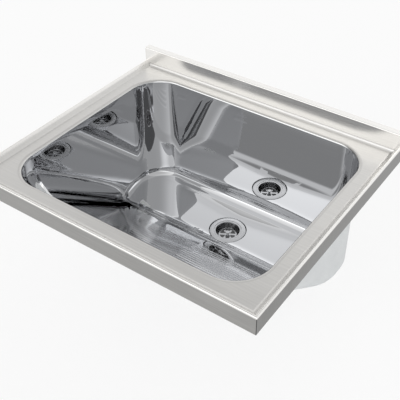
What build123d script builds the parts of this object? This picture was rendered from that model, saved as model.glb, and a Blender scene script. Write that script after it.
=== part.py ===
from build123d import *
import math
import os

os.makedirs("parts", exist_ok=True)

# Laundry sink top with one drawn bowl, an integral washboard and a 50 mm waste.
# Millimetres. +X is the user's right, +Y runs back to the wall, +Z is up.
# Origin: centre of the underside of the front rest flange, where the top sits on its cabinet.

# Top sheet
top_width = 600.0
top_depth = 510.0
top_sheet = 1.0
skirt_height = 37.0
rest_flange = 18.0
edge_rise = 10.0
edge_width = 15.0
edge_flat = 3.5
edge_foot_round = 6.0
crest_round = 1.6
splash_rise = 30.0
splash_thickness = 16.0

# Bowl
bowl_sheet = 0.9
bowl_side_margin = 42.0
bowl_front_margin = 42.0
bowl_back_margin = 47.0
bowl_corner = 68.0
bowl_depth = 247.0
lip_width = 7.0
lip_round = 4.0
slope_start = 38.5
floor_length = 143.3
slope_round = 48.0
floor_round = 17.0

# Washboard pressed in the sloping front wall
rib_count = 15
rib_pitch = 15.0
rib_round = 8.0
rib_rise = 2.2
rib_half_length = 181.0
first_rib = 50.0

# Fall of the floor to the waste
waste_from_back = 86.5
fall = 9.0
fall_side = 28.0
fall_front = 8.0
fall_back = 20.0
fall_corner = 32.0
throat_half_width = 20.0
throat_front = 38.0
throat_back = 44.0

# Waste: flange, threaded body, washers and nut
recess_radius = 41.5
recess_depth = 2.6
flange_radius = 39.0
flange_thickness = 2.4
flange_round = 1.0
gasket_thickness = 1.2
thread_radius = 29.8
nut_clearance = 0.05
washer_clearance = 0.4
waste_hole_clearance = 1.2
waste_bore = 27.3
waste_length = 62.0
rebate_radius = 30.2
rebate_depth = 1.2
washer_radius = 41.0
washer_thickness = 3.0
friction_thickness = 1.0
nut_radius = 40.0
nut_height = 13.0
nut_lugs = 8
nut_lug_width = 9.0
nut_lug_depth = 4.0
relief_width = 1.6
relief_depth = 1.0

# Lift-out strainer basket
basket_sheet = 0.8
basket_lip_clearance = 0.5
basket_wall_clearance = 0.4
basket_depth = 12.0
basket_floor_radius = 19.8
basket_rim_width = 3.0
basket_hub_radius = 6.5
basket_spokes = 6
basket_spoke_width = 4.6
basket_hole_radius = 1.7
basket_holes = 18
basket_hole_rows = (0.3, 0.68)
knob_radius = 5.0
knob_head = 2.4
knob_height = 7.0
knob_neck = 2.2
rivet_radius = 1.6
rivet_head_radius = 3.2
rivet_head = 1.0
rivet_clearance = 0.05

# Sound-deadening coat sprayed on the outside of the bowl
coat_thickness = 1.2
coat_top = 14.0
coat_window = 52.0

# Stiffening channels bonded under the deck
channel_width = 17.0
channel_height = 18.0
channel_wall = 1.2
channel_lip_gap = 0.6

# Fixing brackets and their screws
bracket_sheet = 1.5
bracket_width = 30.0
bracket_drop = 38.0
bracket_hole = 2.75
bracket_hole_up = 12.0
bracket_spread = 150.0
bracket_channel_gap = 0.4
screw_spread = 8.0
screw_radius = 2.0
screw_clearance = 0.1
screw_head_radius = 4.2
screw_head_height = 2.4
screw_length = 9.0

# Earthing tag with its bolt and nut
tag_length = 42.0
tag_width = 16.0
tag_sheet = 1.5
tag_drop = 18.0
tag_offset = 150.0
earth_hole_up = 8.0
earth_radius = 3.0
earth_clearance = 0.3
earth_nut_clearance = 0.05
earth_length = 14.0
earth_across_flats = 10.0
earth_head = 4.0
earth_nut = 5.0

# Places that follow from the sizes
front = -rest_flange / 2
back = front + top_depth
half_width = top_width / 2
deck_z = skirt_height - edge_rise
splash_front = back - splash_thickness
bowl_half = half_width - bowl_side_margin
bowl_front = front + bowl_front_margin
bowl_back = back - bowl_back_margin
bowl_length = bowl_back - bowl_front
bowl_mid = (bowl_front + bowl_back) / 2
floor_z = deck_z - bowl_depth
slope_top = deck_z - slope_start
foot_y = bowl_back - floor_length
slope_tan = (slope_top - floor_z) / (foot_y - bowl_front)
slope_rad = math.atan(slope_tan)
slope_up = Vector(0, math.sin(slope_rad), math.cos(slope_rad))
waste_y = bowl_back - waste_from_back
throat_z = floor_z - fall
recess_z = throat_z - recess_depth
flange_z = recess_z + gasket_thickness
flange_top = flange_z + flange_thickness
rebate_z = flange_top - rebate_depth
under_z = recess_z - bowl_sheet
washer_z = under_z - washer_thickness
friction_z = washer_z - friction_thickness
nut_z = friction_z - nut_height
deck_under = deck_z - top_sheet
channel_in = bowl_half + lip_round + channel_lip_gap
channel_out = channel_in + channel_width
front_channel_back = bowl_front - lip_round - channel_lip_gap
front_channel_front = front_channel_back - channel_width
rear_channel_front = bowl_back + lip_round + channel_lip_gap
rear_channel_back = rear_channel_front + channel_width
bracket_top = deck_under - channel_height
bracket_mid = bowl_mid
tag_front = rear_channel_back
tag_low = -tag_drop
LOW = (Align.CENTER, Align.CENTER, Align.MIN)
HIGH = (Align.CENTER, Align.CENTER, Align.MAX)


def save(solid, node):
    export_step(solid, "parts/" + node + ".step")


def block(x0, x1, y0, y1, z0, z1):
    """Box between two corners."""
    size = Box(x1 - x0, y1 - y0, z1 - z0)
    return Pos((x0 + x1) / 2, (y0 + y1) / 2, (z0 + z1) / 2) * size


def ring(outer, inner, z0, z1):
    """Flat ring on the waste's axis."""
    tube = Cylinder(outer, z1 - z0, align=LOW) - Cylinder(inner, z1 - z0, align=LOW)
    return Pos(0, waste_y, z0) * tube


def group(solids):
    """Separate solids kept together in one node."""
    return Compound(children=list(solids))


def level_edges(solid, z):
    """Edges that lie flat at one height."""
    return [e for e in solid.edges()
            if abs(e.center().Z - z) < 0.01 and e.bounding_box().size.Z < 0.01]


# Deck, raised edge, skirt and splashback are one folded sheet.
def top_envelope(inset, crest):
    """Outside of the top, with every visible face moved inward by inset and its crests rounded by crest."""
    edge_angle = math.atan2(edge_rise, edge_width - edge_flat)
    foot = edge_width - inset * math.tan(edge_angle / 2)
    bottom = -inset
    body = block(-half_width + inset, half_width - inset, front + inset, back - inset,
                 bottom, skirt_height - inset)
    tray_x = half_width - foot
    tray_y0 = front + foot
    tray_y1 = back + splash_thickness
    outline = Pos(0, (tray_y0 + tray_y1) / 2, deck_z - inset) * Rectangle(2 * tray_x, tray_y1 - tray_y0)
    tray = extrude(outline, amount=edge_rise + 2, taper=math.degrees(edge_angle) - 90)
    body = body - tray
    splash_top = skirt_height + splash_rise - inset
    splash = block(-half_width + inset, half_width - inset, splash_front + inset, back - inset,
                   bottom, splash_top)
    body = body + splash
    foot_edges = [e for e in level_edges(body, deck_z - inset)]
    body = body.fillet(edge_foot_round + inset, foot_edges)
    if crest == 0:
        return body
    crest_edges = [e for e in level_edges(body, skirt_height - inset)
                   if e.center().Y < splash_front + inset - 0.01]
    body = body.fillet(crest, crest_edges)
    top_edges = [e for e in level_edges(body, splash_top) if e.bounding_box().size.X > 1]
    return body.fillet(crest, top_edges)


def bowl_outline(grow):
    """Bowl opening in plan, grown outward."""
    shape = RectangleRounded(2 * (bowl_half + grow), bowl_length + 2 * grow, bowl_corner + grow)
    return Pos(0, bowl_mid) * shape


def outline_distance(point):
    """How far a point lies outside the bowl's opening, in plan."""
    dx = abs(point.X) - (bowl_half - bowl_corner)
    dy = abs(point.Y - bowl_mid) - (bowl_length / 2 - bowl_corner)
    return math.hypot(max(dx, 0), max(dy, 0)) + min(max(dx, dy), 0) - bowl_corner


def make_top():
    shell = top_envelope(0, crest_round) - top_envelope(top_sheet, 0)
    flange = block(-half_width, half_width, front, back, 0, top_sheet)
    opening = block(-half_width + rest_flange, half_width - rest_flange,
                    front + rest_flange, back - rest_flange, -1, top_sheet + 1)
    below = block(-top_width, top_width, front - 10, back + 10, -10, 0)
    hole = Pos(0, 0, deck_z - 10) * extrude(bowl_outline(lip_width), amount=20)
    return (shell - below) + (flange - opening) - hole


# The bowl is drawn from one sheet. Its walls are upright, and the front one turns into the slope.
def cavity(grow):
    """Inside of the bowl as a solid, grown outward: 0 is the inside, the sheet's thickness the outside."""
    high = 200.0
    far = 1000.0
    half = bowl_half + grow
    y0 = bowl_front - grow
    y1 = bowl_back + grow
    z0 = slope_top - grow / math.cos(slope_rad)
    start = Vector(0, bowl_front, z0)

    def slope_z(y):
        return z0 - slope_tan * (y - bowl_front)

    side = Polyline((y0, high), (y0, slope_z(y0)), (far, slope_z(far)), (far, high), close=True)
    body = Pos(-half, 0, 0) * extrude(Plane.YZ * make_face(side), amount=2 * half)
    uprights = [e for e in body.edges()
                if abs(e.center().Y - y0) < 0.01 and e.bounding_box().size.X < 0.01]
    body = body.fillet(bowl_corner + grow, uprights)
    slope_edges = [e for e in body.edges()
                   if all(abs((e @ s - start).dot(slope_up)) < 0.01 for s in (0, 0.5, 1))
                   and (e @ 0.5).Y < far - 1]
    body = body.fillet(slope_round + grow, slope_edges)
    floor = floor_z - grow
    outline = Pos(0, 0, floor) * bowl_outline(grow)
    body = body & extrude(outline, amount=high - floor)
    floor_edges = [e for e in body.edges() if e.bounding_box().max.Z < floor + 0.01]
    return body.fillet(floor_round + grow, floor_edges)


def floor_fall(grow):
    """Shallow pan that runs the floor down to the waste, with the recess for its flange."""
    x1 = bowl_half - fall_side
    y0 = foot_y + fall_front
    y1 = bowl_back - fall_back
    top_z = floor_z - grow
    low_z = throat_z - grow
    plan = ((x1 - fall_corner, y0), (x1, y0 + slope_round), (x1, y1 - fall_corner), (x1 - fall_corner, y1))
    corners = []
    rims = []
    lows = []
    for side in (1, -1):
        rim = [Vector(side * x, y, top_z) for x, y in plan]
        near = Vector(side * throat_half_width, waste_y - throat_front, low_z)
        far = Vector(side * throat_half_width, waste_y + throat_back, low_z)
        corners += [(rim[0], rim[1], near), (rim[1], rim[2], far, near), (rim[2], rim[3], far)]
        rims.append(rim)
        lows.append((near, far))
    (near, far), (near_left, far_left) = lows
    corners += [rims[0] + rims[1][::-1], (near, far, far_left, near_left),
                (rims[0][0], near, near_left, rims[1][0]), (rims[0][3], rims[1][3], far_left, far)]
    faces = [Face(Wire.make_polygon(c, close=True)) for c in corners]
    pan = Solid(Shell(faces))
    recess = Pos(0, waste_y, recess_z - grow) * Cylinder(recess_radius + grow, recess_depth + fall / 2, align=LOW)
    return pan + recess


def ribs(radius):
    """Washboard bars that stand out of the slope, with round ends."""
    bars = []
    for i in range(rib_count):
        along = first_rib + i * rib_pitch
        y = bowl_front + along * math.cos(slope_rad)
        z = slope_top - along * math.sin(slope_rad)
        centre = Vector(0, y, z) - slope_up * (rib_round - rib_rise)
        length = 2 * rib_half_length
        bar = Rot(0, 90, 0) * Cylinder(radius, length)
        bar = bar + Pos(-rib_half_length, 0, 0) * Sphere(radius) + Pos(rib_half_length, 0, 0) * Sphere(radius)
        bars.append(Pos(0, centre.Y, centre.Z) * bar)
    return bars


def below_deck(solid, z):
    return solid & block(-top_width, top_width, front - 50, back + 50, floor_z - 80, z)


def mouth(wall_grow, plate_grow, plate_z, plate_thickness, radius):
    """Short upright wall that turns out into a flat plate with a rolled edge."""
    wall = Pos(0, 0, plate_z - 2 * lip_round) * extrude(bowl_outline(wall_grow), amount=2 * lip_round)
    plate = Pos(0, 0, plate_z) * extrude(bowl_outline(plate_grow), amount=plate_thickness)
    turn = [e for e in level_edges(wall + plate, plate_z)
            if all(abs(outline_distance(e @ s) - wall_grow) < 0.01 for s in (0, 0.5, 1))]
    return (wall + plate).fillet(radius, turn)


def make_bowl(outside, inside):
    neck = mouth(bowl_sheet, lip_width, deck_z - bowl_sheet, bowl_sheet, lip_round - bowl_sheet)
    solid = below_deck(outside, deck_z - lip_round) + neck
    void = below_deck(inside, deck_z - lip_round) + mouth(0, lip_width + 5, deck_z, 20, lip_round)
    for bar in ribs(rib_round):
        void = void - bar
    bowl = solid - void
    for bar in ribs(rib_round - bowl_sheet):
        bowl = bowl - bar
    hole = Pos(0, waste_y, recess_z - 20) * Cylinder(thread_radius + waste_hole_clearance, 60, align=LOW)
    return bowl - hole


def make_coat(outside):
    outer = cavity(bowl_sheet + coat_thickness) + floor_fall(bowl_sheet + coat_thickness)
    window = Pos(0, waste_y, floor_z - 80) * Cylinder(coat_window, 100, align=LOW)
    return below_deck(outer - outside, deck_z - coat_top) - window


# The waste hangs in the recess: flange above, washers and nut below the bowl.
def make_waste_body():
    flange = Pos(0, waste_y, flange_z) * Cylinder(flange_radius, flange_thickness, align=LOW)
    flange = flange.fillet(flange_round, [e for e in level_edges(flange, flange_top)])
    tube = Pos(0, waste_y, flange_z - waste_length) * Cylinder(thread_radius, waste_length, align=LOW)
    bore = Pos(0, waste_y, flange_z - waste_length) * Cylinder(waste_bore, waste_length + 20, align=LOW)
    rebate = Pos(0, waste_y, rebate_z) * Cylinder(rebate_radius, 20, align=LOW)
    relief = ring(thread_radius + 1, thread_radius - relief_depth, nut_z - relief_width, nut_z)
    return flange + tube - bore - rebate - relief


def make_backnut():
    nut = ring(nut_radius - nut_lug_depth, thread_radius + nut_clearance, nut_z, friction_z)
    collar = ring(nut_radius, thread_radius + nut_clearance, friction_z - nut_height / 4, friction_z)
    nut = nut + collar
    for i in range(nut_lugs):
        lug = block(nut_radius - 2 * nut_lug_depth, nut_radius, -nut_lug_width / 2, nut_lug_width / 2,
                    nut_z, friction_z)
        lug = lug & Pos(0, 0, nut_z) * Cylinder(nut_radius, nut_height, align=LOW)
        nut = nut + Pos(0, waste_y, 0) * Rot(0, 0, i * 360 / nut_lugs) * lug
    return nut


# The basket drops into the flange's rebate and lifts out by its knob.
def make_basket():
    lip_radius = rebate_radius - basket_lip_clearance
    top_radius = waste_bore - basket_wall_clearance
    low_z = rebate_z - basket_depth
    outer = Pos(0, 0, low_z) * Cone(basket_floor_radius, top_radius, basket_depth, align=LOW)
    inner = Pos(0, 0, low_z) * Cone(basket_floor_radius - basket_sheet, top_radius - basket_sheet,
                                    basket_depth, align=LOW)
    wall = outer - inner
    for row, share in enumerate(basket_hole_rows):
        z = rebate_z - share * basket_depth
        for i in range(basket_holes):
            turn = (i + row / 2) * 360 / basket_holes
            drill = Rot(0, 90, 0) * Cylinder(basket_hole_radius, 2 * waste_bore, align=LOW)
            wall = wall - Rot(0, 0, turn) * Pos(0, 0, z) * drill
    lip = Cylinder(lip_radius, basket_sheet, align=LOW)
    lip = lip - Cylinder(top_radius - basket_sheet, basket_sheet, align=LOW)
    floor = Cylinder(basket_floor_radius, basket_sheet, align=LOW)
    slots = Cylinder(basket_floor_radius - basket_rim_width, basket_sheet, align=LOW)
    slots = slots - Cylinder(basket_hub_radius, basket_sheet, align=LOW)
    for i in range(basket_spokes):
        spoke = block(0, basket_floor_radius, -basket_spoke_width / 2, basket_spoke_width / 2, 0, basket_sheet)
        slots = slots - Rot(0, 0, (i + 0.5) * 360 / basket_spokes) * spoke
    floor = floor - slots - Cylinder(rivet_radius + rivet_clearance, basket_sheet, align=LOW)
    basket = wall + Pos(0, 0, rebate_z) * lip + Pos(0, 0, low_z) * floor
    return Pos(0, waste_y, 0) * basket


def make_knob():
    floor_top = rebate_z - basket_depth + basket_sheet
    neck = Pos(0, 0, floor_top) * Cylinder(knob_neck, knob_height, align=LOW)
    head = Pos(0, 0, floor_top + knob_height - knob_head) * Cylinder(knob_radius, knob_head, align=LOW)
    head = head.fillet(knob_head * 0.45, head.edges().filter_by(GeomType.CIRCLE))
    rivet = Pos(0, 0, floor_top) * Cylinder(rivet_radius, basket_sheet, align=HIGH)
    foot = Pos(0, 0, floor_top - basket_sheet) * Cylinder(rivet_head_radius, rivet_head, align=HIGH)
    return Pos(0, waste_y, 0) * (neck + head + rivet + foot)


# Channels are bonded to the deck's underside, two across and two between them.
def channel(x0, x1, y0, y1, along_x):
    """Channel open to the deck, with open ends."""
    low = deck_under - channel_height
    w = channel_wall
    if along_x:
        inner = block(x0, x1, y0 + w, y1 - w, low + w, deck_under)
    else:
        inner = block(x0 + w, x1 - w, y0, y1, low + w, deck_under)
    return block(x0, x1, y0, y1, low, deck_under) - inner


def screw_places(side):
    """Plan positions of the bracket screws on one side of the sink."""
    x = side * (channel_in + channel_width / 2)
    return [(x, bracket_mid + end * bracket_spread + step * screw_spread)
            for end in (-1, 1) for step in (-1, 1)]


def drill_screws(solid, side):
    for x, y in screw_places(side):
        solid = solid - Pos(x, y, bracket_top) * Cylinder(screw_radius + screw_clearance, 12)
    return solid


def make_side_channel(side):
    x0, x1 = sorted((side * channel_in, side * channel_out))
    return drill_screws(channel(x0, x1, front_channel_back, rear_channel_front, False), side)


def make_bracket(side, end):
    y = bracket_mid + end * bracket_spread
    y0 = y - bracket_width / 2
    y1 = y + bracket_width / 2
    x_leg = channel_out + bracket_channel_gap
    x0, x1 = sorted((side * channel_in, side * (x_leg + bracket_sheet)))
    foot = block(x0, x1, y0, y1, bracket_top - bracket_sheet, bracket_top)
    x0, x1 = sorted((side * x_leg, side * (x_leg + bracket_sheet)))
    leg = block(x0, x1, y0, y1, bracket_top - bracket_drop, bracket_top)
    hole_z = bracket_top - bracket_drop + bracket_hole_up
    hole = Pos(side * x_leg, y, hole_z) * Rot(0, 90, 0) * Cylinder(bracket_hole, 10)
    return drill_screws(foot + leg - hole, side)


def make_bracket_screws():
    screws = []
    seat = bracket_top - bracket_sheet
    for side in (-1, 1):
        for x, y in screw_places(side):
            shank = Pos(x, y, seat) * Cylinder(screw_radius, screw_length, align=LOW)
            head = Pos(x, y, seat) * Cylinder(screw_head_radius, screw_head_height, align=HIGH)
            head = head.fillet(screw_head_height * 0.4, level_edges(head, seat - screw_head_height))
            screws.append(shank + head)
    return group(screws)


# The earthing tag is welded to the rear channel and hangs clear of the rest flange.
def earth_axis(solid):
    """Turns a solid made along +Z so that it lies along +Y through the tag's hole."""
    return Pos(tag_offset, tag_front, tag_low + earth_hole_up) * Rot(-90, 0, 0) * solid


def hexagon(across_flats, height):
    return extrude(RegularPolygon(across_flats / math.sqrt(3), 6), amount=height)


def make_tag():
    plate = block(tag_offset - tag_width / 2, tag_offset + tag_width / 2, tag_front, tag_front + tag_sheet,
                  tag_low, tag_low + tag_length)
    return plate - earth_axis(Cylinder(earth_radius + earth_clearance, 20))


def make_earth_bolt():
    head = Pos(0, 0, -earth_head) * hexagon(earth_across_flats, earth_head)
    return earth_axis(head + Cylinder(earth_radius, earth_length, align=LOW))


def make_earth_nut():
    nut = hexagon(earth_across_flats, earth_nut) - Cylinder(earth_radius + earth_nut_clearance, 20)
    return earth_axis(Pos(0, 0, tag_sheet) * nut)


inside = cavity(0) + floor_fall(0)
outside = cavity(bowl_sheet) + floor_fall(bowl_sheet)
save(make_top(), "deck_top")
save(make_bowl(outside, inside), "bowl")
save(make_coat(outside), "bowl_coating")

save(channel(-channel_out, channel_out, front_channel_front, front_channel_back, True), "front_channel")
save(channel(-channel_out, channel_out, rear_channel_front, rear_channel_back, True), "rear_channel")
save(make_side_channel(-1), "left_channel")
save(make_side_channel(1), "right_channel")
for side, side_name in ((-1, "left"), (1, "right")):
    for end, end_name in ((-1, "front"), (1, "rear")):
        save(make_bracket(side, end), end_name + "_" + side_name + "_bracket")
save(make_bracket_screws(), "bracket_screws")

save(make_tag(), "earth_tag")
save(make_earth_bolt(), "earth_bolt")
save(make_earth_nut(), "earth_nut")

save(make_waste_body(), "waste_body")
save(ring(flange_radius - 0.5, thread_radius + washer_clearance, recess_z, flange_z), "flange_gasket")
save(ring(washer_radius, thread_radius + washer_clearance, washer_z, under_z), "under_washer")
save(ring(washer_radius, thread_radius + washer_clearance, friction_z, washer_z), "friction_ring")
save(make_backnut(), "backnut")
save(make_basket(), "strainer_basket")
save(make_knob(), "basket_knob")
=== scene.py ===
import math

import bmesh
import bpy
import numpy as np
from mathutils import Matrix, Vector


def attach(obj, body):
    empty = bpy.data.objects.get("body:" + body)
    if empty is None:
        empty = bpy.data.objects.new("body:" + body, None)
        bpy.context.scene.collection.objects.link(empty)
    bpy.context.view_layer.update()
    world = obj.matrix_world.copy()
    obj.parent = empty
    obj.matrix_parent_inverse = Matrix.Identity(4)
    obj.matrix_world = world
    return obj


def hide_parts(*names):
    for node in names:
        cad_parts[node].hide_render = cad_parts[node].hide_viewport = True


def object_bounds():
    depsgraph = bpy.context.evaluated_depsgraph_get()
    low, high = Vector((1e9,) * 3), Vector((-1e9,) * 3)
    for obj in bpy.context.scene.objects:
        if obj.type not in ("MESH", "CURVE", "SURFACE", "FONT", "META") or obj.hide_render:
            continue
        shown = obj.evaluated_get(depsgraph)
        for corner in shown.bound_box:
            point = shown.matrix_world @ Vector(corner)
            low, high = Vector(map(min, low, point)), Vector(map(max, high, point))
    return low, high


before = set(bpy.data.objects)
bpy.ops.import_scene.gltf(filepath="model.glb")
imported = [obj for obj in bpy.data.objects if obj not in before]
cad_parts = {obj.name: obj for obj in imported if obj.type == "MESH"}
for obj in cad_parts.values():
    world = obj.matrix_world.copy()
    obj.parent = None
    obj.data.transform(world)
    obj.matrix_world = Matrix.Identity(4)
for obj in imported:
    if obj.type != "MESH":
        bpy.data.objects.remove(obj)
cad_low, cad_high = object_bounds()

# The viewpoint stands in front of the sink, to its right and above it, and looks down into the bowl. Its
# place, turn, lens and shift were solved from the photograph together with the sink's sizes.
eye_place = (0.634996, -0.593719, 0.808242)
eye_turn = (50.40631, 0.05143, 34.75372)
film_width, lens_length, sideways_shift = 36.0, 64.630, -0.03769
eye = bpy.data.cameras.new("eye")
eye.sensor_width = film_width
eye.lens = lens_length
eye.shift_x = sideways_shift
eye_holder = bpy.data.objects.new("eye", eye)
eye_holder.location = eye_place
eye_holder.rotation_euler = [math.radians(a) for a in eye_turn]
bpy.context.scene.collection.objects.link(eye_holder)
bpy.context.scene.camera = eye_holder
bpy.context.scene.view_settings.view_transform = "Standard"


# The studio is an even white room with a pale matt floor. A soft lamp high on the front left and two low
# windows in front are brighter than the rest, and the room is dimmer on the left and high on the right.
class Number:
    """A value in a node tree that takes part in sums like a plain number."""

    def __init__(self, tree, socket):
        self.tree = tree
        self.socket = socket

    def joined(self, operation, first, second):
        maths = self.tree.nodes.new("ShaderNodeMath")
        maths.operation = operation
        for place, value in zip(maths.inputs, (first, second)):
            if isinstance(value, Number):
                self.tree.links.new(value.socket, place)
            else:
                place.default_value = value
        return Number(self.tree, maths.outputs[0])

    def __add__(self, other):
        return self.joined("ADD", self, other)

    def __radd__(self, other):
        return self.joined("ADD", other, self)

    def __sub__(self, other):
        return self.joined("SUBTRACT", self, other)

    def __rsub__(self, other):
        return self.joined("SUBTRACT", other, self)

    def __mul__(self, other):
        return self.joined("MULTIPLY", self, other)

    def __rmul__(self, other):
        return self.joined("MULTIPLY", other, self)

    def __truediv__(self, other):
        return self.joined("DIVIDE", self, other)

    def __pow__(self, other):
        return self.joined("POWER", self, other)

    def at_least(self, other):
        return self.joined("MAXIMUM", self, other)

    def at_most(self, other):
        return self.joined("MINIMUM", self, other)

    def ramp(self, low, high):
        """0 below low, 1 above high, and smooth between."""
        part = ((self - low) / (high - low)).at_least(0.0).at_most(1.0)
        return part * part * (3.0 - 2.0 * part)


class Finish:
    """A node tree being put together, for a material or for the room's light."""

    def __init__(self, tree):
        self.tree = tree
        tree.nodes.clear()

    def node(self, kind, settings=None, sockets=None, output=0):
        made = self.tree.nodes.new(kind)
        for name, value in (settings or {}).items():
            setattr(made, name, value)
        for name, value in (sockets or {}).items():
            place = made.inputs[name]
            if isinstance(value, Number):
                self.tree.links.new(value.socket, place)
            else:
                place.default_value = value
        return Number(self.tree, made.outputs[output]) if made.outputs else None


room = bpy.data.worlds.new("room")
bpy.context.scene.world = room
room.use_nodes = True
light = Finish(room.node_tree)
direction = light.node("ShaderNodeTexCoord", output="Generated")


def toward(way):
    """How nearly the direction points one way: 1 straight at it, 0 across it."""
    return light.node("ShaderNodeVectorMath", {"operation": "DOT_PRODUCT"},
                      {0: direction, 1: Vector(way).normalized()}, "Value")


even_light, least_light = 1.05, 0.1
# The way to each part, where its soft edge starts and where it is full, and the light that it adds.
room_parts = {
    "high_lamp": ((-0.45, -0.62, 0.64), 0.90, 0.99, 0.12),
    "left_window": ((-0.44, -0.86, 0.24), 0.84, 0.975, 0.85),
    "right_window": ((0.45, -0.87, 0.2), 0.88, 0.97, 1.0),
    "dim_left_corner": ((-0.92, -0.22, 0.42), 0.8, 0.97, -0.85),
    "dim_rear_left": ((-0.40, 0.34, 0.85), 0.92, 0.99, -0.62),
    "dim_right_side": ((0.75, -0.15, 0.9), 0.6, 0.98, -0.42),
}
glow = even_light
for way, edge, full, added in room_parts.values():
    glow = glow + added * toward(way).ramp(edge, full)
white = (1.0, 1.0, 1.0, 1.0)
light.node("ShaderNodeOutputWorld", sockets={"Surface": light.node("ShaderNodeBackground", sockets={
    "Color": white, "Strength": glow.at_least(least_light)})})

floor_reach, floor_gap = 6.0, 0.0005
level = cad_low.z - floor_gap
floor_plan = bpy.data.meshes.new("floor")
floor_plan.from_pydata([(-floor_reach, -floor_reach, level), (floor_reach, -floor_reach, level),
                        (floor_reach, floor_reach, level), (-floor_reach, floor_reach, level)],
                       [], [(0, 1, 2, 3)])
floor = bpy.data.objects.new("floor", floor_plan)
bpy.context.scene.collection.objects.link(floor)
floor_pale, shown_white = 0.93, 0.8
floor_paint = bpy.data.materials.new("floor")
floor_paint.use_nodes = True
paint = Finish(floor_paint.node_tree)
matt = paint.node("ShaderNodeBsdfDiffuse", sockets={"Color": (floor_pale, floor_pale, floor_pale, 1.0)})
lit = paint.node("ShaderNodeEmission", sockets={"Color": white, "Strength": 1.0})
camera_ray, glossy_ray, through_ray = [paint.node("ShaderNodeLightPath", output=ray) for ray in (
    "Is Camera Ray", "Is Glossy Ray", "Is Transmission Ray")]
share = (camera_ray + glossy_ray + through_ray).at_most(1.0) * shown_white
paint.node("ShaderNodeOutputMaterial", sockets={"Surface": paint.node("ShaderNodeMixShader", sockets={
    0: share, 1: matt, 2: lit})})
floor_plan.materials.append(floor_paint)


# Deck, raised edge, skirts and splashback are one sheet of stainless steel, folded and mitred. The satin
# grain runs from side to side on the deck and stands upright on the two side skirts.
def dress(node, material):
    """Gives a carried-over piece its material."""
    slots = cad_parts[node].data.materials
    slots.clear()
    slots.append(material)


def new_finish(name):
    """An empty material, its node tree ready to be filled, and the coordinates that its patterns read."""
    material = bpy.data.materials.new(name)
    material.use_nodes = True
    f = Finish(material.node_tree)
    return material, f, f.node("ShaderNodeTexCoord", output="Object")


def parted(f, place):
    """The three coordinates of a place, as numbers."""
    cut = f.node("ShaderNodeSeparateXYZ", sockets={"Vector": place}).socket.node
    return [Number(f.tree, cut.outputs[axis]) for axis in "XYZ"]


def stretched(f, place, by):
    """Coordinates that draw a pattern out along the axes where by is small."""
    return f.node("ShaderNodeMapping", sockets={"Vector": place, "Scale": by}, output="Vector")


def noise(f, place, scale, detail):
    """A random pattern between 0 and 1, about 0.5 on average."""
    return f.node("ShaderNodeTexNoise", sockets={"Vector": place, "Scale": scale, "Detail": detail})


def embossed(f, height, strength, depth):
    """A surface that stands up where height is large."""
    return f.node("ShaderNodeBump", sockets={"Height": height, "Strength": strength, "Distance": depth})


def mixed(f, share, low, high):
    """A colour between two colours."""
    return f.node("ShaderNodeMix", {"data_type": "RGBA"}, {
        "Factor": share.at_least(0.0).at_most(1.0), 6: (*low, 1.0), 7: (*high, 1.0)}, 2)


def laid_on(f, **sockets):
    """Ends a material in the usual surface shader."""
    named = {key.replace("_", " "): value for key, value in sockets.items()}
    f.node("ShaderNodeOutputMaterial", sockets={
        "Surface": f.node("ShaderNodeBsdfPrincipled", sockets=named)})


grain_scale, along_deck, along_skirt = 420.0, (0.03, 1.0, 1.0), (1.0, 1.0, 0.05)
# The crest gain lightens the raised edge's crest as a painted highlight.
crest_start, crest_full, crest_painted_highlight = 0.0325, 0.0350, 0.34
# The two dimmed values darken the front and side skirts as painted shade.
front_painted_shade, side_painted_shade, deck_tone, full_tone = 0.5, 0.74, 1.1, 1.6
side_start, side_full, front_full, front_end = 0.0010, 0.0004, 0.0004, 0.0012
line_share, cloud_share = 0.24, 0.06
satin_colour, satin_rough = (0.96, 0.947, 0.922), 0.33
satin, f, place = new_finish("satin_steel")
spot_x, spot_y, spot_z = parted(f, place)
side_skirt = ((spot_x * spot_x) ** 0.5).ramp(cad_high.x - side_start, cad_high.x - side_full)
front_skirt = 1.0 - spot_y.ramp(cad_low.y + front_full, cad_low.y + front_end)
grain_lines = noise(f, stretched(f, place, along_deck), grain_scale, 4.0)
skirt_lines = noise(f, stretched(f, place, along_skirt), grain_scale, 4.0)
lines = grain_lines + (skirt_lines - grain_lines) * side_skirt
cloud = noise(f, place, 7.0, 3.0)
# From the crest of the raised edge upward the steel is painted lighter, as a painted highlight, and made a
# little smoother.
crest = spot_z.ramp(crest_start, crest_full)
# The front and side skirts are painted darker, as painted shade, except where the crest is lighter.
skirt_painted_shade = (front_painted_shade * front_skirt + side_painted_shade * side_skirt) * (1.0 - crest)
tone = (deck_tone + crest_painted_highlight * crest + line_share * (lines - 0.5) + cloud_share * (cloud - 0.5)
        - skirt_painted_shade)
laid_on(f, Base_Color=mixed(f, tone / full_tone, (0.0, 0.0, 0.0), satin_colour), Metallic=1.0,
        Roughness=satin_rough + 0.16 * (lines - 0.5) - 0.1 * crest,
        Normal=embossed(f, lines, 0.10, 0.0002))
dress("deck_top", satin)

# The bowl is deep-drawn from one sheet of stainless steel and polished bright. Its front wall runs down as
# a slope with pressed washboard bars, its floor falls to the waste, and its lip is welded into the deck.
half, front, back, corner = 258.0, 33.0, 454.0, 68.0
deck, floor_z, slope_top, floor_length = 27.0, -220.0, -11.5, 143.3
slope_round, floor_round, round_eased, easing_width = 48, 17, 8, 70
foot = back - floor_length
slope = math.atan((slope_top - floor_z) / (foot - front))
across, down = math.cos(slope), math.sin(slope)
waste_y, sheet, lip, roll = 367.5, 0.9, 7.0, 4.0
recess_z, recess_radius, waste_hole = -231.6, 40.0, 31.0


def eased(share):
    """A share from 0 to 1 with a soft start and a soft end."""
    return share * share * (3 - 2 * share)


def round_joint(a, b, r):
    """The larger of two distances, with a quarter round of radius r where they meet."""
    return np.minimum(np.maximum(a, b), -r) + np.hypot(np.maximum(a + r, 0), np.maximum(b + r, 0))


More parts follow.
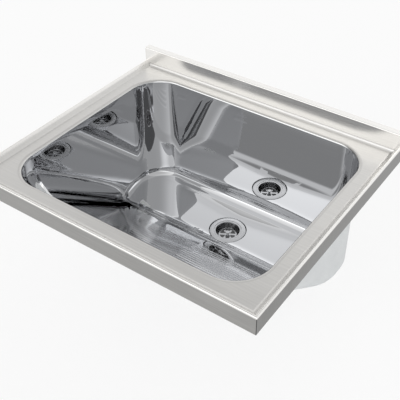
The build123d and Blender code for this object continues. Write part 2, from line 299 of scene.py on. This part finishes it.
def outside(p, grow):
    """How far points lie outside the bowl's inner face, moved outward by grow; negative within."""
    x, y, z = p.T
    dx = np.abs(x) - (half - corner)
    dy = np.abs(y - (front + back) / 2) - ((back - front) / 2 - corner)
    far = np.hypot(np.maximum(dx, 0), np.maximum(dy, 0))
    wall = far + np.minimum(np.maximum(dx, dy), 0) - corner - grow
    to_front = np.where(y < front + corner, np.maximum(dy, 0) / np.maximum(far, 1e-9), 0)
    board = -((y - front) * down + (z - slope_top) * across) - grow
    sides = round_joint(wall, board, slope_round * (1 - down * to_front) + grow)
    share = eased(np.clip((board - wall) / easing_width + 0.5, 0, 1))
    return round_joint(sides, floor_z - z - grow, floor_round + grow - round_eased * share)


def low_line(y):
    """Height of the sharp-cornered bowl's bottom along its length."""
    return np.maximum(slope_top - (y - front) * math.tan(slope), floor_z)


core_height, overshoot, halvings = 62, 1.06, 36


def settle(q, grow):
    """Moves points of the sharp-cornered bowl onto the rounded one, along lines from its core."""
    c = q.copy()
    c[:, 0] = np.clip(q[:, 0], corner - half, half - corner)
    c[:, 1] = np.clip(q[:, 1], front + corner, back - corner)
    c[:, 2] = np.maximum(q[:, 2], low_line(c[:, 1]) + core_height)
    near, far = np.zeros(len(q)), np.full(len(q), overshoot)
    for _ in range(halvings):
        middle = (near + far) / 2
        beyond = outside(c + (q - c) * middle[:, None], grow) > 0
        far = np.where(beyond, middle, far)
        near = np.where(beyond, near, middle)
    return c + (q - c) * near[:, None]


bars, first_bar, bar_pitch, bar_height = 15, 50, 15, 0.25
bar_flat, bar_flank, bar_half_length, bar_end = 2.4, 2.6, 181, 5


def bar_lift(x, y, z):
    """Height of the washboard bars above the slope."""
    along = (y - front) * across - (z - slope_top) * down
    bar = np.clip(np.round((along - first_bar) / bar_pitch), 0, bars - 1)
    from_crest = np.abs(along - (first_bar + bar_pitch * bar))
    flank = eased(np.clip((from_crest - bar_flat) / bar_flank, 0, 1))
    past_end = eased(np.clip((np.abs(x) - bar_half_length) / bar_end, 0, 1))
    return bar_height * (1 - flank) * (1 - past_end)


fall, fall_softness = 9, 0.6
fall_side, fall_front, fall_back = 232, 6, 434
side_run, front_run, back_run = 212, 14, 23


def floor_fall(x, y):
    """How far the floor is pressed down toward the waste."""
    planes = np.stack([fall * (fall_side - np.abs(x)) / side_run, fall * (y - foot - fall_front) / front_run,
                       fall * (fall_back - y) / back_run, np.full_like(x, fall)])
    soft = -np.log(np.exp(-fall_softness * planes).sum(0)) / fall_softness
    return np.maximum(soft, 0)


def marks(*stretches):
    """Grid lines: (from, to, spacing) stretches joined end to end."""
    found = [stretches[0][0]]
    for a, b, gap in stretches:
        n = max(1, round(abs(b - a) / gap))
        found += [a + (b - a) * (i + 1) / n for i in range(n)]
    return found


# The grid leaves a block of this size free round the waste, which rings of points fill down to its hole.
block_x, block_near, block_far = 56.0, waste_y - 52.0, waste_y + 52.0


def bowl_skin(xs, ys, heights, radii, grow, barred):
    """One face of the bowl: points, faces that look into it, top loop and waste-hole loop."""
    index, sharp = {}, []

    def at(x, y, z):
        key = (round(x, 3), round(y, 3), round(z, 3))
        if key not in index:
            index[key] = len(sharp)
            sharp.append((x, y, z))
        return index[key]

    def bottom_at(x, y):
        return at(x, y, float(low_line(y)))

    def inside(low, v, high):
        return low - 0.01 <= v <= high + 0.01

    faces = []
    for xa, xb in zip(xs, xs[1:]):
        for ya, yb in zip(ys, ys[1:]):
            if (inside(-block_x, xa, block_x) and inside(-block_x, xb, block_x)
                    and inside(block_near, ya, block_far) and inside(block_near, yb, block_far)):
                continue
            faces.append((bottom_at(xa, ya), bottom_at(xb, ya), bottom_at(xb, yb), bottom_at(xa, yb)))

    def loop(rows, columns):
        return ([(x, columns[0]) for x in rows[:-1]] + [(rows[-1], y) for y in columns[:-1]]
                + [(x, columns[-1]) for x in rows[:0:-1]] + [(rows[0], y) for y in columns[:0:-1]])

    def skinned(rings):
        for a, b in zip(rings, rings[1:]):
            for k in range(len(a)):
                n = (k + 1) % len(a)
                faces.append((a[k], a[n], b[n], b[k]))

    top = deck - roll
    walls = [[at(x, y, top + (float(low_line(y)) - top) * t) for x, y in loop(xs, ys)] for t in heights]
    skinned(walls)
    block = loop([x for x in xs if inside(-block_x, x, block_x)],
                 [y for y in ys if inside(block_near, y, block_far)])
    rings = [[bottom_at(x, y) for x, y in block]]
    for r, share in radii:
        ring = []
        for x, y in block:
            turn = math.atan2(y - waste_y, x)
            cx, cy = r * math.cos(turn), waste_y + r * math.sin(turn)
            ring.append(bottom_at(x + (cx - x) * share, y + (cy - y) * share))
        rings.append(ring)
    skinned(rings)
    p = settle(np.array(sharp), grow)
    if barred:
        lift = bar_lift(*p.T)
        p[:, 1] += lift * down
        p[:, 2] += lift * across
    p[:, 2] -= floor_fall(p[:, 0], p[:, 1])
    from_waste = np.hypot(p[:, 0], p[:, 1] - waste_y)
    sunk = eased(np.clip((recess_radius + grow + 0.9 - from_waste) / 1.5, 0, 1))
    low = (p[:, 2] < floor_z + 40) & (from_waste < recess_radius + grow + 1)
    p[:, 2] = np.where(low, p[:, 2] + (recess_z - grow - p[:, 2]) * sunk, p[:, 2])
    return p, faces, walls[0], rings[-1]


def thinned(lines, keep_every, always):
    """Every few lines of a set, with some that have to stay."""
    return [v for i, v in enumerate(lines)
            if i % keep_every == 0 or i == len(lines) - 1 or any(abs(v - a) < 0.01 for a in always)]


fine_x = marks((-half, -192, 2.4), (-192, -176, 1.0), (-176, -block_x, 8), (-block_x, block_x, 5.6),
               (block_x, 176, 8), (176, 192, 1.0), (192, half, 2.4))
fine_y = marks((front, 68, 2.2), (68, 250, 0.8), (250, 296, 4), (296, block_near, 2),
               (block_near, block_far, 5.2), (block_far, back, 2.2))
fine_t = marks((0, 0.5, 0.07), (0.5, 0.8, 0.03), (0.8, 1.0, 0.013))
radii = [(50, 0.4), (50, 0.75), (50, 1)]
radii += [(r, 1) for r in (46, 43.6, 42.8, 42.4, 42.0, 41.6, 41.2, 40.8, 39.5, 36, waste_hole)]
inner, inner_faces, inner_top, inner_hole = bowl_skin(fine_x, fine_y, fine_t, radii, 0.0, True)
shell, shell_faces, shell_top, shell_hole = bowl_skin(
    thinned(fine_x, 3, (-block_x, block_x)), thinned(fine_y, 4, (block_near, block_far)), fine_t[::4],
    radii[2::2] + [radii[-1]], sheet, False)
points = [tuple(p) for p in inner]
faces = list(inner_faces)


def turned_loop(reach_out, height):
    """A copy of the inner face's top loop, moved outward in plan and set at a height."""
    made = []
    for i in inner_top:
        x, y = inner[i][0], inner[i][1]
        cx = min(max(x, corner - half), half - corner)
        cy = min(max(y, front + corner), back - corner)
        away = math.hypot(x - cx, y - cy)
        points.append((x + (x - cx) / away * reach_out, y + (y - cy) / away * reach_out, height))
        made.append(len(points) - 1)
    return made


loops = [inner_top]
for turn in (18, 36, 54, 72, 90):
    a = math.radians(turn)
    loops.append(turned_loop(roll * (1 - math.cos(a)), deck - roll + roll * math.sin(a)))
loops += [turned_loop(lip, deck), turned_loop(lip, deck - sheet)]
under_roll = roll - sheet
for turn in (90, 60, 30, 0):
    a = math.radians(turn)
    loops.append(turned_loop(sheet + under_roll * (1 - math.cos(a)), deck - roll + under_roll * math.sin(a)))
for a, b in zip(loops, loops[1:]):
    for k in range(len(a)):
        n = (k + 1) % len(a)
        faces.append((a[k], b[k], b[n], a[n]))
start = len(points)
points += [tuple(p) for p in shell]
faces += [tuple(start + i for i in face[::-1]) for face in shell_faces]


def joined_rims(many, few, flip):
    """Closes the gap between a loop of many points and one of few."""
    spots = np.array([points[i] for i in many])
    nearest = [int(np.argmin(((spots - np.array(points[i])) ** 2).sum(1))) for i in few]
    for k in range(len(few)):
        n = (k + 1) % len(few)
        stretch = []
        j = nearest[k]
        while True:
            stretch.append(many[j])
            if j == nearest[n]:
                break
            j = (j + 1) % len(many)
        face = (few[k], *stretch, few[n])
        faces.append(face[::-1] if flip else face)


def softened(mesh, crease, turned_out):
    """Shades a mesh smooth, except along edges sharper than the crease's degrees."""
    work = bmesh.new()
    work.from_mesh(mesh)
    if turned_out:
        bmesh.ops.recalc_face_normals(work, faces=work.faces)
    for face in work.faces:
        face.smooth = True
    for edge in work.edges:
        edge.smooth = len(edge.link_faces) == 2 and edge.calc_face_angle(0.0) < math.radians(crease)
    work.to_mesh(mesh)
    work.free()


joined_rims(loops[-1], [start + i for i in shell_top], False)
joined_rims(inner_hole, [start + i for i in shell_hole], True)
bowl_mesh = bpy.data.meshes.new("bowl_skin")
bowl_mesh.from_pydata([(x / 1000, y / 1000, z / 1000) for x, y, z in points], [], faces)
bowl_mesh.validate()
softened(bowl_mesh, 38, False)
bowl = bpy.data.objects.new("bowl_skin", bowl_mesh)
bpy.context.scene.collection.objects.link(bowl)

polished, lip_satin = (0.652, 0.657, 0.668), (0.585, 0.577, 0.562)
mirror_rough, lip_rough, board_rough = 0.018, 0.3, 0.02
lip_start, lip_full, board_skin, board_clear = 3.2, 0.4, 0.0015, 0.004
bright, f, place = new_finish("bright_steel")
spot_x, spot_y, spot_z = parted(f, place)
flat = spot_z.ramp((deck - lip_start) / 1000, (deck - lip_full) / 1000)
over_slope = (spot_y - front / 1000) * down + (spot_z - slope_top / 1000) * across
between_ends = 1.0 - ((spot_x * spot_x) ** 0.5).ramp(0.178, 0.192)
board = (1.0 - over_slope.ramp(board_skin, board_clear)) * between_ends
swirl = noise(f, place, 240.0, 6.0)
haze = noise(f, place, 12.0, 3.0)
lip_grain = noise(f, stretched(f, place, (0.04, 1.0, 1.0)), 420.0, 4.0)
laid_on(f, Base_Color=mixed(f, flat, polished, lip_satin), Metallic=1.0,
        Roughness=(mirror_rough + 0.012 * (swirl - 0.5) + 0.01 * (haze - 0.5) + lip_rough * flat
                   + board_rough * board),
        Normal=embossed(f, lip_grain * flat, 0.08, 0.0002))
bowl_mesh.materials.append(bright)
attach(bowl, "sink")
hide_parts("bowl")

# The outside of the bowl is sprayed with a pale sound-deadening coat, which stops round the waste and
# dries with a fine orange peel and a little unevenness.
coat_dull, coat_pale, coat_rough = (0.62, 0.64, 0.65), (0.76, 0.775, 0.78), 0.62
coat, f, place = new_finish("sprayed_coat")
peel = noise(f, place, 320.0, 3.0)
drift = noise(f, place, 24.0, 6.0)
laid_on(f, Base_Color=mixed(f, 0.7 * (drift - 0.5) + 0.5 * (peel - 0.5) + 0.6, coat_dull, coat_pale),
        Roughness=coat_rough + 0.2 * (peel - 0.5), Normal=embossed(f, peel + drift, 0.5, 0.0008))
dress("bowl_coating", coat)

# Stiffening channels and screw brackets under the deck are folded from hot-dipped sheet, which shows the
# frosty patches of its zinc. The channels are bonded to the deck, and the brackets screwed to them.
zinc_dark, zinc_light, zinc_rough = (0.44, 0.46, 0.48), (0.60, 0.62, 0.63), 0.38
zinc, f, place = new_finish("galvanised")
flake = f.node("ShaderNodeTexVoronoi", {"feature": "F1"}, {"Vector": place, "Scale": 170.0}, "Color")
patch = f.node("ShaderNodeSeparateColor", sockets={"Color": flake}, output="Red")
dust = noise(f, place, 90.0, 5.0)
laid_on(f, Base_Color=mixed(f, 0.75 * patch + 0.5 * (dust - 0.5) + 0.1, zinc_dark, zinc_light),
        Metallic=0.85, Roughness=zinc_rough + 0.22 * patch, Normal=embossed(f, patch, 0.15, 0.0002))
for side in ("front", "rear", "left", "right"):
    dress(side + "_channel", zinc)
for end in ("front_left", "front_right", "rear_left", "rear_right"):
    dress(end + "_bracket", zinc)

# The bracket screws are plain bright steel, turned and rolled. Two go up through the foot of each bracket
# into the side channel above it.
screw_dark, screw_light, screw_rough = (0.50, 0.50, 0.50), (0.62, 0.62, 0.61), 0.24
screw_steel, f, place = new_finish("screw_steel")
turning = noise(f, place, 1500.0, 3.0)
laid_on(f, Base_Color=mixed(f, turning, screw_dark, screw_light), Metallic=1.0,
        Roughness=screw_rough + 0.2 * (turning - 0.5))
dress("bracket_screws", screw_steel)

# The earthing tag is a strip of stainless steel, welded to the rear channel. Its bolt and nut are brass,
# a little dulled, and lie through the hole in its low end.
brass_dull, brass_bright, brass_rough = (0.47, 0.33, 0.13), (0.68, 0.50, 0.22), 0.26
dress("earth_tag", satin)
brass, f, place = new_finish("brass")
dulled = noise(f, place, 260.0, 5.0)
laid_on(f, Base_Color=mixed(f, 1.4 * (dulled - 0.5) + 0.5, brass_dull, brass_bright), Metallic=1.0,
        Roughness=brass_rough + 0.2 * (dulled - 0.5))
dress("earth_bolt", brass)
dress("earth_nut", brass)

# The waste is turned from stainless steel: a rounded flange, the strainer's seat, a plain bore and a tail
# with a single-start thread, which has a relief groove under the backnut.
flange_top, flange_low, flange_radius, flange_round = -228.0, -230.4, 39.0, 1.0
seat_z, seat_radius, bore, tail_radius, tail_end = -229.2, 30.2, 27.3, 29.8, -292.4
thread_top, thread_low, thread_pitch, thread_depth = -237.0, -291.2, 2.3, 1.0
groove_top, groove_low = -249.5, -251.1
around, rows_in_pitch, crest_share = 112, 8, 1.25
outer_chamfer, bore_chamfer, bore_chamfer_height = 1.0, 0.3, 0.4
outline = [(bore, seat_z), (seat_radius, seat_z), (seat_radius, flange_top)]
for step in range(7):
    a = math.radians(90 - 15 * step)
    outline.append((flange_radius - flange_round + flange_round * math.cos(a),
                    flange_top - flange_round + flange_round * math.sin(a)))
outline += [(flange_radius, flange_low), (tail_radius, flange_low), (tail_radius, thread_top)]
rows = round((thread_top - thread_low) / thread_pitch * rows_in_pitch)
outline += [(tail_radius, thread_top + (thread_low - thread_top) * (i + 1) / rows) for i in range(rows)]
outline += [(tail_radius - outer_chamfer, tail_end), (bore + bore_chamfer, tail_end),
            (bore, tail_end + bore_chamfer_height)]


def thread_cut(r, z, k):
    """How deep the thread, or its relief groove, is cut at a point of the tail."""
    if r != tail_radius or z >= thread_top:
        return 0.0
    if groove_low < z < groove_top:
        return thread_depth
    wave = (z / thread_pitch + k / around) % 1
    run_out = min(1.0, (thread_top - z) / 3, (z - thread_low) / 2 + 0.3)
    return thread_depth * run_out * min(1.0, crest_share * abs(2 * wave - 1))


waste_points, waste_faces = [], []
for r, z in outline:
    for k in range(around):
        turn = 2 * math.pi * k / around
        cut = thread_cut(r, z, k)
        waste_points.append(((r - cut) * math.cos(turn) / 1000,
                             (waste_y + (r - cut) * math.sin(turn)) / 1000, z / 1000))
for i in range(len(outline)):
    j = (i + 1) % len(outline)
    for k in range(around):
        n = (k + 1) % around
        waste_faces.append((i * around + k, j * around + k, j * around + n, i * around + n))
waste_mesh = bpy.data.meshes.new("waste_turned")
waste_mesh.from_pydata(waste_points, [], waste_faces)
softened(waste_mesh, 32, True)
waste = bpy.data.objects.new("waste_turned", waste_mesh)
bpy.context.scene.collection.objects.link(waste)

bare_steel, bore_shade_colour, turned_rough, bore_shade_edge = (0.66, 0.665, 0.675), (0.04, 0.04, 0.042), 0.14, 0.5
turned, f, place = new_finish("turned_steel")
tool = noise(f, stretched(f, place, (0.1, 0.1, 1.0)), 900.0, 4.0)
smear = noise(f, place, 60.0, 4.0)
out_x, out_y = parted(f, place)[:2]
out_y = out_y - waste_y / 1000
# Inside the bore the steel is painted nearly black, as painted shade, and made rougher.
bore_painted_shade = 1.0 - ((out_x * out_x + out_y * out_y) ** 0.5).ramp(bore / 1000, (bore + bore_shade_edge) / 1000)
laid_on(f, Base_Color=mixed(f, 0.85 + 0.2 * (tool - 0.5) - 0.7 * bore_painted_shade, bore_shade_colour, bare_steel),
        Metallic=1.0, Roughness=turned_rough + 0.12 * (smear - 0.5) + 0.08 * (tool - 0.5) + 0.2 * bore_painted_shade,
        Normal=embossed(f, tool, 0.05, 0.0001))
waste_mesh.materials.append(turned)
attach(waste, "sink")
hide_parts("waste_body")

# The lift-out basket is pressed from thinner stainless sheet, with drilled walls and a spoked floor. Its
# knob is turned, and riveted to the hub in the middle.
basket_wall_shade_colour, pressed_rough = (0.03, 0.03, 0.032), 0.12
wall_start, wall_full, wall_top, lip_low = 0.0196, 0.0206, -0.2302, -0.2292
pressed, f, place = new_finish("pressed_steel")
press = noise(f, place, 180.0, 4.0)
scale = noise(f, place, 35.0, 3.0)
out_x, out_y, deep = parted(f, place)
out_y = out_y - waste_y / 1000
from_axis = (out_x * out_x + out_y * out_y) ** 0.5
# The drilled wall below the basket's lip is painted dark, as painted shade, and made rougher.
shade_painted_wall = from_axis.ramp(wall_start, wall_full) * (1.0 - deep.ramp(wall_top, lip_low))
laid_on(f, Base_Color=mixed(f, 0.8 + 0.4 * (press - 0.5) - 0.65 * shade_painted_wall, basket_wall_shade_colour, bare_steel),
        Metallic=1.0,
        Roughness=pressed_rough + 0.10 * (press - 0.5) + 0.06 * (scale - 0.5) + 0.1 * shade_painted_wall)
dress("strainer_basket", pressed)
dress("basket_knob", pressed)

# The gasket under the flange, the washer under the bowl and the friction ring are moulded in black rubber,
# which shows a trace of bloom. The backnut squeezes them tight.
rubber_black, rubber_bloomed, rubber_rough = (0.018, 0.018, 0.019), (0.055, 0.055, 0.056), 0.62
rubber, f, place = new_finish("rubber")
bloom = noise(f, place, 120.0, 5.0)
laid_on(f, Base_Color=mixed(f, 1.5 * (bloom - 0.5) + 0.4, rubber_black, rubber_bloomed),
        Roughness=rubber_rough + 0.25 * (bloom - 0.5))
for node in ("flange_gasket", "under_washer", "friction_ring"):
    dress(node, rubber)

# The backnut is moulded in pale nylon, slightly mottled, with lugs to turn it by. It screws up the waste's
# tail and holds the waste in the bowl.
nylon_dull, nylon_pale, nylon_rough = (0.66, 0.655, 0.63), (0.76, 0.755, 0.735), 0.42
nylon, f, place = new_finish("nylon")
flow = noise(f, place, 70.0, 4.0)
laid_on(f, Base_Color=mixed(f, flow, nylon_dull, nylon_pale), Roughness=nylon_rough + 0.16 * (flow - 0.5))
dress("backnut", nylon)
